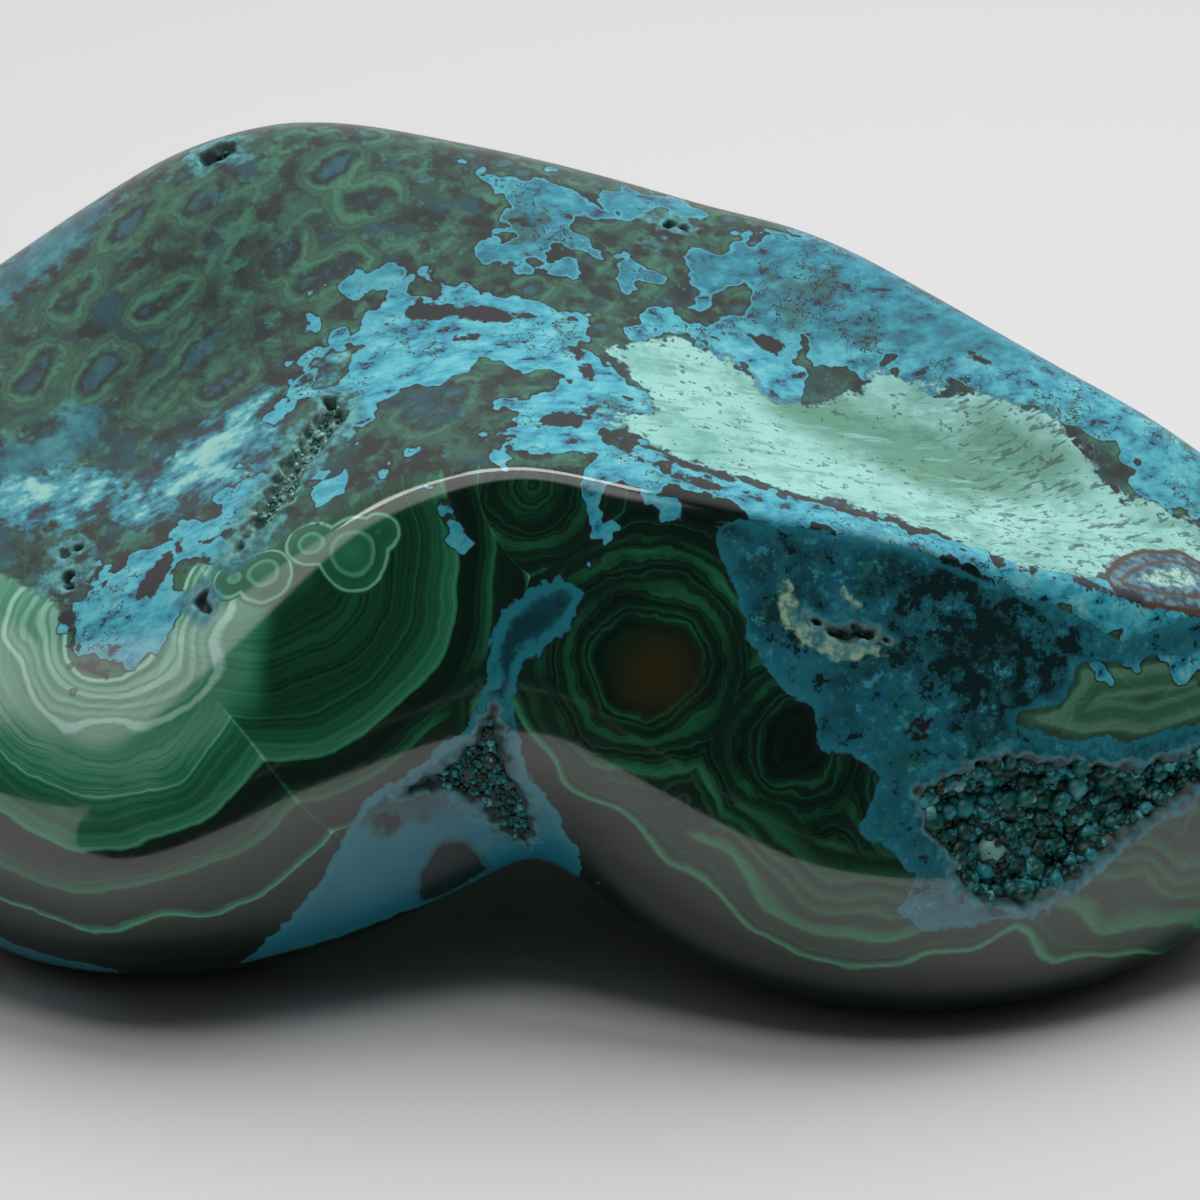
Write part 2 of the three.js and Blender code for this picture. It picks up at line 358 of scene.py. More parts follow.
BROWN_STRANDS = [
    [(-27.3, -20.3, 23.4, 0.4), (-26, -21.3, 23, 0.6), (-25.5, -21, 23.8, 0.3)],
    [(-28.8, -17.3, 25.3, 0.3), (-28, -19.3, 24.2, 0.25)],
    [(-5, -3.5, 38.5, 0.25), (-2.5, -3.5, 38.5, 0.15), (0, -4.5, 38.5, 0.2), (2.5, -4.5, 38, 0.3),
     (3.5, -7.5, 37.5, 0.35)],
    [(5, -14, 35.5, 0.2), (7.5, -16, 34.7, 0.3), (10, -17, 33.7, 0.35), (13.5, -16.7, 33.2, 0.2)],
    [(4, -12.8, 36, 0.15), (9, -15.2, 34.6, 0.3), (15, -16, 33.2, 0.15), (22.5, -16.5, 31.2, 0.2)],
    [(28, 1.5, 35.8, 0.5), (29, 1, 35.3, 0.3)],
    [(33, -0.5, 33.5, 0.15), (35, -4, 30.8, 0.2), (36.5, -6, 29.3, 0.15)],
    [(23, -24, 20, 0.45), (23.8, -23.6, 20.8, 0.5)],
    [(30, -17.7, 28.3, 0.2), (34, -16.6, 27.2, 0.35), (37, -15.9, 26, 0.3)],
]
BLOB = [
    (-6, -20.5, 11.5), (-4.5, -20, 11.5), (-3.5, -19, 10), (-3, -17.5, 8.5), (-5, -17, 7), (-7, -17.5, 6.5),
    (-7.5, -19, 7.5), (-7, -20, 9.5),
]
LOW_STAINS = [
    [(-10, -22.8, 14.2, 0.5), (-8.3, -22.3, 13.6, 0.6)],
    [(-9.5, -22.5, 12.8, 0.3)], [(-6.8, -21.6, 13.6, 0.35), (-5.8, -21.3, 12.6, 0.2)],
]
CREAM = [
    [(15.3, -20.5, 28.6, 0.6), (15.6, -21.4, 26.8, 0.5), (17, -21.9, 25.4, 0.7), (19, -22, 25, 0.55),
     (21.5, -21.8, 25.1, 0.25)],
    [(18.8, -20.5, 28.2, 0.3), (19.8, -20.9, 27.2, 0.25)],
]
KNOB = [
    (35, -15, 27), (36, -13, 27.5), (38, -10.5, 27), (40.5, -9.5, 26.5), (43, -10.5, 25), (42.5, -14, 24),
    (38, -16, 25.5), (35.5, -16.5, 26.5),
]
EYES = [
    # from, to, the radius of the blue heart
    ((-22, -1, 36), (-20, 0.5, 38), 0.55), ((-15, 1.5, 40.5), (-12, 3, 41.5), 0.5),
    ((-25.5, 3, 38), (-23, 3.5, 39.5), 0.1), ((-17, 3, 41), (-15.5, 4.5, 42.5), 0.1),
    ((-20.5, -3.5, 35), (-19, -3, 36), 0.3), ((-28.5, -0.5, 34.5), (-27.5, 0.5, 35.5), 0.5),
    ((-32.5, 0.5, 34), (-31.5, 2, 35), 0.5), ((-30.5, 5.5, 38), (-29.5, 6.5, 39), 0.4),
    ((-22.5, 8.5, 43.5), (-21.5, 9, 44), 0.5), ((-27.5, 9, 41.5), (-26, 10, 42.5), 0.4),
    ((-12, 7, 44), (-10, 8, 44.5), 0.4), ((-14, 9, 45.5), (-12.5, 10.5, 46), 0.1),
    ((-24.5, -2.5, 34), (-23.5, -2, 35), 0.3), ((14, 8, 41), (15, 7.5, 40.7), 0.2),
]
RIGHT_FOOT = [
    # everything under the lowest pale line of the right belly, which runs along the first points
    (-1, -21, 22), (0.5, -21.5, 19), (1.5, -22, 17), (3.5, -22.5, 15.5), (5, -23, 15), (6.5, -23.5, 13),
    (8, -24, 12), (10.5, -24.5, 10.5),
    (13.5, -25, 8), (16, -25.5, 6.5), (19.5, -25.5, 5.5), (22.5, -26, 5.5), (26.5, -25.5, 6.5),
    (29.5, -25, 7.5), (31.5, -24, 6), (34.5, -22, 4.5), (38, -19.5, 3), (46, -12, -2), (20, -20, -6),
    (5, -18, 0), (-4, -18, 9), (-4, -20, 22),
]
GROUND = [
    # the brown-green rock of the top
    (-50, 2, 30), (-46, -4, 28), (-38, -9, 27), (-31, -15, 26), (-28.5, -17.5, 25.5), (-22, -17, 29),
    (-18.5, -18.5, 29.2), (-16, -18.5, 30.7), (-13.5, -18, 32), (-9, -16.5, 33.8), (-2, -16.8, 35.2),
    (3, -16.5, 35.3), (11, -17.5, 33.5), (21, -16, 31.5), (30, -14, 30), (37, -10, 29.5), (40, 2, 32),
    (22, 10, 39), (12, 16, 43), (0, 17, 46), (-12, 18, 48), (-22, 19, 48), (-34, 17, 42), (-44, 14, 36),
]

# %% Measure every zone on the skin before the pits go down
points = places(skin.verts)
eye_cores = [depth_in_strand(points, [(*start, heart), (*end, heart)]) for start, end, heart in EYES]
ZONES = {
    "ground": depth_in_any(points, [GROUND, MINT]),
    "cloud": depth_in_any(points, [CLOUD, PALE_LEFT], CLOUD_STRANDS),
    "teal": depth_in_any(points, [TEAL_PATCH, FAR_LEFT]),
    "turquoise": depth_in_any(
        points,
        [LEFT_PATCH, SADDLE_BLUE, CREST_BLUE, RIM_BLUE, UNDER_MINT_BLUE, *SMALL_BLUES, *BACK_BLUES],
        BLUE_STRANDS + BACK_STRANDS,
    ),
    "deep_blue": depth_in_any(points, [VALLEY_BLUE, RIGHT_FIELD], VALLEY_STRANDS),
    "right_field": depth_in_any(points, [RIGHT_FIELD]),
    "mint": depth_in_any(points, [MINT]),
    "dish_green": depth_in_any(points, (), DISH_GREEN),
    "brown": depth_in_any(points, BROWN_SPOTS, BROWN_STRANDS),
    "blob": depth_in_any(points, [BLOB], LOW_STAINS),
    "cream": depth_in_any(points, (), CREAM),
    "knob": depth_in_any(points, [KNOB]),
    "eye": np.max(eye_cores, axis=0),
    "pit": depth_in_pits(points),
    "pale_crust": depth_in_any(points, [CREVICE, CREAM_SLIT]),
    "foot": depth_in_outline(points, RIGHT_FOOT, reach=30.0),
    "left_patch": -depth_in_outline(points, LEFT_PATCH, reach=60.0),
}
for name, depths in ZONES.items():
    print(f"{name}: {np.mean(depths > 0):.1%} of the vertices")

# %% Lower the pits
WALL_WAVE = 0.45
LUMP_SCALE = 1.1


def lower_pits(shape, at):
    """Sinks the floors of the pits along the skin's normals, with a lumpy floor."""
    drop = np.zeros(len(at))
    wander = edge_wander(at)
    for outline, depth, wall in PITS:
        share = np.clip((depth_in_outline(at, outline) + wander) / wall, 0, 1)
        drop = np.maximum(drop, depth * share * share * (3 - 2 * share))
    lumps = [noise.fractal(Vector(point) * LUMP_SCALE, 1.0, 2.0, 3) for point in at]
    drop *= 1 + WALL_WAVE * np.array(lumps)
    shape.normal_update()
    normals = [vertex.normal.copy() for vertex in shape.verts]
    for vertex, normal, down in zip(shape.verts, normals, drop):
        vertex.co -= normal * (down * MM)
    return drop


drop = lower_pits(skin, points)
print("deepest pit, mm:", round(float(drop.max()), 2))

# %% Turn the skin into the stone's own piece
stone = linked("polished_stone", mesh_from(skin, "polished_stone"))
for name, depths in ZONES.items():
    field = stone.data.attributes.new(name, "FLOAT", "POINT")
    field.data.foreach_set("value", depths.astype(np.float32))
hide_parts("stone")
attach(stone, "root")
print("polished_stone triangles:", sum(len(face.vertices) - 2 for face in stone.data.polygons))

# %% [markdown]
# ## Crystals in the pits
#
# The floor of a pit is a crust of tiny round crystals. Each one is an icosphere of only twenty faces, because
# there are two thousand of them, and smooth shading rounds them off. A fixed seed makes the same crust each
# time. One mesh holds the crystals of all pits of a kind. Instances would be lighter, but a finished part has
# to be plain meshes.

# %% Grow crystals on the floors of the pits
FLOOR_DEPTH = 0.35
face_centres = np.array([tuple(face.center) for face in stone.data.polygons]) / MM


def pit_faces(outline):
    return np.nonzero(depth_in_outline(face_centres, outline) > FLOOR_DEPTH)[0]


def grow_crystals(name, beds, seed):
    """Beds are (outline, crystals per square mm, smallest radius, largest radius)."""
    chance = random.Random(seed)
    ball = bmesh.new()
    bmesh.ops.create_icosphere(ball, subdivisions=1, radius=MM)
    ball = mesh_from(ball, "ball")
    ball.attributes.new("shade", "FLOAT", "POINT")
    crust = bmesh.new()
    count = 0
    for outline, per_square_mm, smallest, largest in beds:
        faces = [stone.data.polygons[index] for index in pit_faces(outline)]
        areas = [face.area / MM**2 for face in faces]
        for face in chance.choices(faces, areas, k=int(sum(areas) * per_square_mm)):
            radius = chance.uniform(smallest, largest)
            place = face.center + face.normal * (radius * chance.uniform(-0.3, 0.4) * MM)
            turn = Euler([chance.uniform(0, math.tau) for _ in range(3)])
            stretch = Vector([radius * chance.uniform(0.65, 1.35) for _ in range(3)])
            crystal = ball.copy()
            crystal.transform(Matrix.LocRotScale(place, turn, stretch))
            crystal.attributes["shade"].data.foreach_set("value", [chance.random()] * len(crystal.vertices))
            crust.from_mesh(crystal)
            bpy.data.meshes.remove(crystal)
            count += 1
    crystals = linked(name, mesh_from(crust, name))
    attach(crystals, "root")
    print(f"{name}: {count} crystals")
    return crystals


green_crystals = grow_crystals("green_crystals", [
    (DRUSE_PIT, 7.0, 0.18, 0.34), (DRUSE_PIT, 2.5, 0.34, 0.55), (DRUSE_PIT, 0.5, 0.55, 0.8),
    (VALLEY_DRUSE, 12.0, 0.12, 0.3), (CREST_VUG, 6.0, 0.12, 0.24),
], seed=3)
pale_crystals = grow_crystals("pale_crystals", [
    (CREVICE, 9.0, 0.08, 0.22), (CREAM_SLIT, 6.0, 0.1, 0.18),
], seed=5)

# %% [markdown]
# ## Building a material from nodes
#
# The rock pattern is a calculation. It takes a place in the stone and gives a colour, and each node is one
# step of it. A short recipe book keeps that readable: every call below adds one node, feeds it, and gives
# back its output for the next step.

# %% A recipe book for node materials


class Recipe:
    """Sockets go by their names, or by their numbers where a node has several of one name, as Mix has."""

    def __init__(self, tree):
        self.tree = tree

    def node(self, kind, feeds=None, out=0, **settings):
        made = self.tree.nodes.new("ShaderNode" + kind)
        for name, value in settings.items():
            setattr(made, name, value)
        for socket, value in (feeds or {}).items():
            self.feed(made.inputs[socket], value)
        return made.outputs[out]

    def feed(self, socket, value):
        if isinstance(value, bpy.types.NodeSocket):
            self.tree.links.new(value, socket)
        elif socket.type == "RGBA" and len(value) == 3:
            socket.default_value = (*value, 1)
        else:
            socket.default_value = value

    def math(self, operation, *values, clamp=False):
        return self.node("Math", dict(enumerate(values)), operation=operation, use_clamp=clamp)

    def vector(self, operation, *values, out=0):
        return self.node("VectorMath", dict(enumerate(values)), operation=operation, out=out)

    def scaled(self, vector, times):
        return self.node("VectorMath", {"Vector": vector, "Scale": times}, operation="SCALE")

    def distance(self, place, spot):
        return self.vector("DISTANCE", place, spot, out="Value")

    def axis(self, place, letter):
        """How far along X, Y or Z the place is."""
        return self.node("SeparateXYZ", {"Vector": place}, out=letter)

    def centred(self, value):
        """A noise, with its middle value moved to zero."""
        return self.math("SUBTRACT", value, 0.5)

    def lerp(self, share, first, second):
        """A number that goes from the first to the second as the share goes from 0 to 1."""
        return self.node("Mix", {0: share, 2: first, 3: second})

    def mix(self, share, first, second):
        """The same for colours."""
        return self.node("Mix", {0: share, 6: first, 7: second}, out=2, data_type="RGBA")

    def step(self, value, start, end, low=0.0, high=1.0):
        """A soft step: low until start, high from end on. Start may be the larger one."""
        feeds = {"Value": value, "From Min": start, "From Max": end, "To Min": low, "To Max": high}
        return self.node("MapRange", feeds, interpolation_type="SMOOTHSTEP")

    def ramp(self, value, stops):
        made = self.tree.nodes.new("ShaderNodeValToRGB")
        self.feed(made.inputs[0], value)
        elements = made.color_ramp.elements
        while len(elements) < len(stops):
            elements.new(0.5)
        for element, (position, colour) in zip(elements, stops):
            element.position = position
            element.color = (*colour, 1) if isinstance(colour, tuple) else (colour, colour, colour, 1)
        return made.outputs[0]

    def levels(self, value, stops):
        """A ramp over any range of values: stops are (value, level), and a level is a number or a colour."""
        first, last = stops[0][0], stops[-1][0]
        share = self.node("MapRange", {"Value": value, "From Min": first, "From Max": last})
        return self.ramp(share, [((at - first) / (last - first), level) for at, level in stops])

    def noise(self, place, scale, detail, roughness=0.5, out=0):
        feeds = {"Vector": place, "Scale": scale, "Detail": detail, "Roughness": roughness}
        return self.node("TexNoise", feeds, out=out)

    def layers(self, value, scale):
        """Noise along a single value, such as an age."""
        feeds = {"W": value, "Scale": scale, "Detail": 4, "Roughness": 0.7}
        return self.node("TexNoise", feeds, noise_dimensions="1D")

    def stretched(self, place, along, times):
        """The place with everything drawn on it stretched along one direction."""
        along = Vector(along).normalized()
        reach = self.vector("DOT_PRODUCT", place, along, out="Value")
        pull = self.math("MULTIPLY", reach, 1 / times - 1)
        return self.vector("ADD", place, self.scaled(along, pull))

    def attribute(self, name):
        return self.node("Attribute", attribute_name=name, out="Fac")

    def place(self):
        """The place in the stone, in millimetres."""
        return self.scaled(self.node("TexCoord", out="Object"), 1 / MM)


def new_material(name):
    material = bpy.data.materials.new(name)
    material.use_nodes = True
    return material, Recipe(material.node_tree), material.node_tree.nodes["Principled BSDF"]

# %% [markdown]
# ## Malachite
#
# Malachite grows outwards from many centres at once, layer on layer, until the balls meet. So the pattern is
# a growth clock: for every place, how far it is from the outside of the ball that it belongs to. Ramps then
# give each age its green, so that neighbouring balls share their outer bands, as real ones do. A Wave or
# Magic texture would look banded too, but its bands would not turn round centres or meet in sharp creases.

# %% Set the centres of growth
NODULES = [
    # centre, radius at the outermost pale line, brightness inside, how vivid the outer bands are
    ((-25, -16, 22), 16.8, 0.80, 1.0),
    ((-21.5, -18.5, 19.5), 11.2, 0.78, 0.98),
    ((-17, -16, 28.5), 17.1, 0.30, 0.9),
    ((-0.3, -17.4, 34), 5.4, 0.26, 0.3),
    ((6.8, -22, 24.2), 8.6, 0.10, 0.0),
    ((16, -24.5, 19.7), 8.0, 0.02, 0.0),
    ((23, -24, 17), 8.0, 0.16, 0.0),
    ((36, -13, 22), 12.0, 0.52, 0.3),
    ((35, -17, 15), 13.0, 0.30, 0.1),
    ((-47, -4, 20), 10.0, 0.45, 1.0),
]
HIDDEN_NODULES = 11
HIDDEN_RADII = (14, 19)
HIDDEN_BRIGHTNESS = (0.25, 0.7)
HIDDEN_VIVIDNESS = (0.3, 1)
FRONT_LIMIT = -4.0
TOP_LIMIT = 34.0
TRIES = 60
SKIN_STRIDE = 9


def hidden_nodules():
    """More centres, spread over the back, the ends and the sole: each as far from the others as it can be."""
    chance = random.Random(21)
    centres = [centre for centre, _, _, _ in NODULES]
    skin_places = [vertex.co / MM for vertex in list(stone.data.vertices)[::SKIN_STRIDE]]
    hidden = [spot for spot in skin_places if spot.y > FRONT_LIMIT and spot.z < TOP_LIMIT]
    found = []
    for _ in range(HIDDEN_NODULES):
        tries = chance.sample(hidden, TRIES)
        chosen = max(tries, key=lambda spot: min((spot - Vector(other)).length for other in centres))
        centres.append(tuple(chosen))
        sunk = chosen.lerp(MIDDLE, chance.uniform(0.05, 0.2))
        radius = chance.uniform(*HIDDEN_RADII)
        brightness = chance.uniform(*HIDDEN_BRIGHTNESS)
        vividness = chance.uniform(*HIDDEN_VIVIDNESS)
        found.append((tuple(sunk), radius, brightness, vividness))
    return found


print("centres of growth:", len(NODULES) + HIDDEN_NODULES)

# %% Build the growth clock and its bands
MALACHITE_GREENS = [
    (0.0, (0.002, 0.009, 0.007)), (0.2, (0.004, 0.036, 0.018)), (0.4, (0.012, 0.12, 0.055)),
    (0.6, (0.036, 0.28, 0.14)), (0.8, (0.16, 0.48, 0.33)), (1.0, (0.42, 0.78, 0.64)),
]
VIVID_BANDS = [
    (-6.4, 0.46), (-5.3, 0.44), (-4.7, 0.56), (-4.3, 0.66), (-4.15, 0.64), (-4.0, 0.12), (-3.1, 0.03),
    (-2.9, 0.16), (-2.3, 0.34), (-1.95, 0.52), (-1.8, 0.16), (-0.9, 0.08), (-0.35, 0.10), (-0.12, 0.56),
    (0.08, 0.68), (0.22, 0.10), (2.5, 0.04),
]
DARK_BANDS = [
    (-6.4, 0.04), (-5.7, 0.10), (-5.35, 0.34), (-5.1, 0.12), (-4.7, 0.22), (-4.4, 0.08), (-3.9, 0.30),
    (-3.5, 0.34), (-3.3, 0.10), (-2.9, 0.22), (-2.6, 0.08), (-2.1, 0.30), (-1.6, 0.40), (-1.3, 0.12),
    (-0.9, 0.26), (-0.6, 0.08), (0.0, 0.20), (0.3, 0.05), (2.5, 0.04),
]
PATCH_BANDS = [
    (-0.5, 0.45), (0.1, 0.50), (0.25, 1.0), (0.45, 0.96), (0.6, 0.62), (0.8, 0.60), (1.0, 0.84), (1.3, 0.88),
    (1.45, 0.66), (1.6, 0.92), (1.9, 0.94), (2.05, 0.68), (2.3, 0.66), (2.5, 0.84), (2.7, 0.86), (2.85, 0.66),
    (3.2, 0.82), (3.45, 0.66), (3.6, 1.0), (3.8, 0.98), (3.95, 0.68), (5.2, 0.80),
]
FOOT_BANDS = [
    (-7.6, 0.12), (-7.1, 0.34), (-6.8, 0.16), (-6.2, 0.34), (-5.8, 0.44), (-5.5, 0.16), (-4.9, 0.44),
    (-4.5, 0.22), (-4.0, 0.46), (-3.7, 0.20), (-3.3, 0.22), (-2.9, 0.46), (-2.3, 0.58), (-2.0, 0.24),
    (-1.3, 0.16), (-0.8, 0.30), (-0.5, 0.16), (-0.2, 0.52), (0.0, 0.68), (0.15, 0.46), (0.35, 0.06),
    (1.5, 0.04),
]
WINDOW = (36.5, -18, 20.8)
WINDOW_BANDS = [
    (-3.2, 0.40), (-2.3, 0.44), (-2.05, 0.74), (-1.85, 0.70), (-1.6, 0.52), (-1.2, 0.58), (-0.9, 0.76),
    (-0.5, 0.78), (-0.35, 0.52), (0.0, 0.42),
]
PETAL_BANDS = [
    (-2.2, 0.62), (-1.2, 0.50), (-0.95, 0.74), (-0.85, 0.74), (-0.7, 0.44), (-0.15, 0.48), (-0.05, 0.86),
    (0.05, 0.86), (0.15, 0.40),
]
LAYER_SCALE = 1.9
HAIRLINE_SCALE = 4.37
DRIFT = 1.6
DRIFT_SCALE = 0.14
UNREACHED = 30.0
LOBE_HEIGHT = 2.4
LOBE_SCALE = 0.27
WINDOW_TINT = (0.085, 0.10, 0.075)
PETALS = [
    # centre and radius of the small pale-ringed balls between the large ones
    ((-16.5, -20, 29), 1.9), ((-13.7, -19, 31), 1.7), ((-11, -19.5, 30.5), 2.2), ((-9.5, -19, 31.5), 1.3),
    ((-18.2, -19.5, 28.5), 1.3),
]


def malachite(recipe, place, clouds, bays, fine):
    drift = recipe.vector("SUBTRACT", recipe.noise(place, DRIFT_SCALE, 1, out="Color"), (0.5, 0.5, 0.5))
    drift = recipe.scaled(drift, DRIFT)
    grown = recipe.vector("ADD", place, drift)
    clock, second, inner, vivid = UNREACHED, UNREACHED, 0.3, 0.5
    for centre, radius, brightness, vividness in NODULES + hidden_nodules():
        age = recipe.math("SUBTRACT", recipe.distance(grown, centre), radius)
        earlier = recipe.math("LESS_THAN", age, clock)
        second = recipe.math("MINIMUM", second, recipe.math("MAXIMUM", clock, age))
        inner = recipe.lerp(earlier, inner, brightness)
        vivid = recipe.lerp(earlier, vivid, vividness)
        clock = recipe.math("MINIMUM", clock, age)
    waves = recipe.math("MULTIPLY", recipe.centred(bays), 0.6)
    fibres = recipe.math("MULTIPLY_ADD", recipe.centred(fine), 0.10, waves)
    ripple = recipe.math("MULTIPLY_ADD", fibres, recipe.step(vivid, 0.0, 0.8, 3.0, 1.0), clock)
    layers = recipe.centred(recipe.layers(ripple, LAYER_SCALE))
    silk = recipe.centred(clouds)
    hairlines = recipe.centred(recipe.layers(ripple, HAIRLINE_SCALE))
    layers = recipe.math("MULTIPLY_ADD", hairlines, 0.9, layers)
    glow = recipe.math("MULTIPLY_ADD", silk, 0.35, recipe.step(clock, -10.0, -6.0, 0.05, -0.20))
    core = recipe.math("MULTIPLY_ADD", recipe.math("MULTIPLY_ADD", inner, 0.55, 0.25), layers, inner)
    core = recipe.math("MULTIPLY_ADD", recipe.step(inner, 0.2, 0.7), glow, core)
    faded = recipe.step(clouds, 0.36, 0.62, 0.7, 1.3)
    dark = recipe.math("MULTIPLY", recipe.levels(ripple, DARK_BANDS), faded)
    bands = recipe.lerp(vivid, dark, recipe.levels(ripple, VIVID_BANDS))
    bands = recipe.math("MULTIPLY_ADD", layers, recipe.step(vivid, 0.0, 1.0, 0.5, 0.3), bands)
    green = recipe.lerp(recipe.step(clock, -6.8, -5.2), core, bands)
    crease = recipe.step(recipe.math("SUBTRACT", second, clock), 0.13, 0.03, high=0.22)
    green = recipe.math("MULTIPLY_ADD", crease, vivid, green)

    lobes = recipe.math("MULTIPLY", recipe.centred(recipe.noise(place, LOBE_SCALE, 0)), LOBE_HEIGHT)
    foot = recipe.math("ADD", recipe.math("ADD", recipe.attribute("foot"), fibres), lobes)
    around_foot = recipe.math("MULTIPLY_ADD", layers, 0.15, recipe.levels(foot, FOOT_BANDS))
    across = recipe.axis(place, "X")
    above_foot = recipe.math("ADD", foot, recipe.step(across, 8.0, 14.0, 2.2, 7.6))
    green = recipe.lerp(recipe.step(above_foot, 0.0, 1.0), green, around_foot)
    window = recipe.step(recipe.distance(place, WINDOW), 8.5, 7.5)
    in_window = recipe.math("ADD", recipe.attribute("right_field"), waves)
    around_window = recipe.math("MULTIPLY_ADD", layers, 0.2, recipe.levels(in_window, WINDOW_BANDS))
    green = recipe.lerp(window, green, around_window)
    to_patch = recipe.math("ADD", recipe.math("ADD", recipe.attribute("left_patch"), fibres), lobes)
    around_patch = recipe.math("MULTIPLY_ADD", layers, 0.2, recipe.levels(to_patch, PATCH_BANDS))
    green = recipe.lerp(recipe.step(to_patch, 6.5, 4.0), green, around_patch)
    petal = UNREACHED
    for centre, radius in PETALS:
        ring = recipe.math("SUBTRACT", recipe.distance(grown, centre), radius)
        petal = recipe.math("MINIMUM", petal, ring)
    petal = recipe.math("ADD", petal, fibres)
    green = recipe.lerp(recipe.step(petal, 0.3, 0.1), green, recipe.levels(petal, PETAL_BANDS))
    colour = recipe.ramp(green, MALACHITE_GREENS)
    return recipe.mix(recipe.math("MULTIPLY", window, 0.45), colour, WINDOW_TINT)


# %% [markdown]
# ## Chrysocolla
#
# Chrysocolla is a gel that set in the gaps, so it has no crystals to show, only clouds: deeper and paler blue
# with a crackle of brown. Where it set as tiny balls, as on the right belly, it looks curdled. A noise with
# many octaves and a steep ramp gives that curdle, and a fine line where a second noise passes through its
# middle value gives the crackle.

# %% Paint the blues
BRIGHT_BLUE = (0.08, 0.56, 0.70)
PALE_BLUE = (0.26, 0.74, 0.80)
BROWN = (0.020, 0.022, 0.028)
RUST = (0.10, 0.055, 0.035)


def crackle(recipe, value, width):
    """Thin lines where a noise passes through its middle value."""
    return recipe.step(recipe.math("ABSOLUTE", recipe.centred(value)), width, width * 0.3)


def clouded_blue(recipe, place, coarse, clouds, flecks, fine):
    wisps = recipe.noise(recipe.stretched(place, (0.95, 0.1, 0.3), 1.8), 0.9, 4, 0.62)
    bright = recipe.ramp(wisps, [
        (0.34, (0.012, 0.20, 0.34)), (0.44, (0.035, 0.40, 0.56)), (0.52, BRIGHT_BLUE),
        (0.60, (0.13, 0.64, 0.75)), (0.70, PALE_BLUE),
    ])
    deep = recipe.ramp(wisps, [
        (0.34, (0.008, 0.10, 0.17)), (0.46, (0.014, 0.25, 0.36)), (0.56, (0.024, 0.35, 0.48)),
        (0.68, (0.07, 0.48, 0.58)),
    ])
    forward = recipe.axis(place, "Y")
    blue = recipe.mix(recipe.step(forward, 2.5, 0.5), deep, bright)
    stain = recipe.math("MULTIPLY", recipe.step(clouds, 0.47, 0.38), recipe.step(coarse, 0.40, 0.55))
    blue = recipe.mix(recipe.math("MULTIPLY", stain, 0.7), blue, (0.035, 0.12, 0.085))
    lines = recipe.math("MULTIPLY", crackle(recipe, flecks, 0.02), recipe.step(clouds, 0.56, 0.46))
    spots = recipe.math("MULTIPLY", recipe.step(wisps, 0.40, 0.35), recipe.step(fine, 0.44, 0.52))
    return recipe.mix(recipe.math("MAXIMUM", lines, spots), blue, BROWN)


DARK_CURDS = (29, -20, 26)
LIT_BLUES = [
    # where the curdled field is brighter, and how far round
    ((38, -16.5, 25), 8.0), ((34, -20.5, 19.5), 4.5), ((23, -26.5, 10.5), 5.0), ((15, -22.5, 24), 3.0),
]


def curdled_blue(recipe, place, clouds):
    tufts = recipe.noise(place, 0.62, 4, 0.74)
    grains = recipe.noise(place, 1.3, 3, 0.75)
    blue = recipe.ramp(clouds, [
        (0.38, (0.008, 0.055, 0.065)), (0.48, (0.012, 0.11, 0.15)), (0.56, (0.014, 0.17, 0.25)),
        (0.66, (0.012, 0.13, 0.13)),
    ])
    for spot, reach in LIT_BLUES:
        lit = recipe.step(recipe.distance(place, spot), reach, reach * 0.4, high=0.7)
        blue = recipe.mix(lit, blue, (0.018, 0.20, 0.29))
    blue = recipe.mix(recipe.step(grains, 0.50, 0.66, high=0.7), blue, (0.035, 0.22, 0.21))
    blue = recipe.mix(recipe.step(tufts, 0.56, 0.66, high=0.9), blue, (0.05, 0.38, 0.48))
    dark = recipe.step(recipe.distance(place, DARK_CURDS), 9.0, 4.0, 0.44, 0.53)
    hollows = recipe.math("MULTIPLY", recipe.math("SUBTRACT", dark, tufts), 16.0, clamp=True)
    return recipe.mix(hollows, blue, (0.005, 0.026, 0.026))


def smooth_blue(recipe, place, clouds, depth):
    """The vein in the valley: bright along its walls, nearly black in its heart, and blue where it widens."""
    height = recipe.axis(place, "Z")
    low = recipe.step(height, 15.5, 12.5)
    heart = recipe.mix(low, (0.006, 0.065, 0.085), (0.012, 0.23, 0.33))
    lit = recipe.math("MULTIPLY", low, recipe.step(clouds, 0.42, 0.60))
    heart = recipe.mix(lit, heart, (0.016, 0.26, 0.36))
    return recipe.mix(recipe.step(depth, 0.7, 0.3), heart, (0.022, 0.29, 0.37))


# %% [markdown]
# ## The ground with its eyes
#
# The top shows malachite and chrysocolla that grew in turns round small cavities, cut across at a slant. Each
# is an eye with a blue heart, a brown line and a green ring. The large ones are drawn. A stretched Voronoi
# texture adds the small ones: its distance from a cell's centre is all that a ring needs.

# %% Paint the ground and its eyes
EYE_SLANT = (0.72, 0.42, 0.55)
EYE_RINGS = [
    # millimetres out from the blue heart
    (-0.6, (0.024, 0.17, 0.25)), (-0.1, (0.02, 0.12, 0.17)), (0.1, (0.010, 0.026, 0.032)),
    (0.35, (0.012, 0.048, 0.034)), (0.6, (0.030, 0.16, 0.095)), (0.9, (0.065, 0.27, 0.16)),
    (1.15, (0.030, 0.12, 0.078)), (1.4, (0.040, 0.17, 0.10)), (1.7, (0.018, 0.06, 0.044)),
    (2.0, (0.012, 0.036, 0.028)),
]
EYE_REACH = 2.1


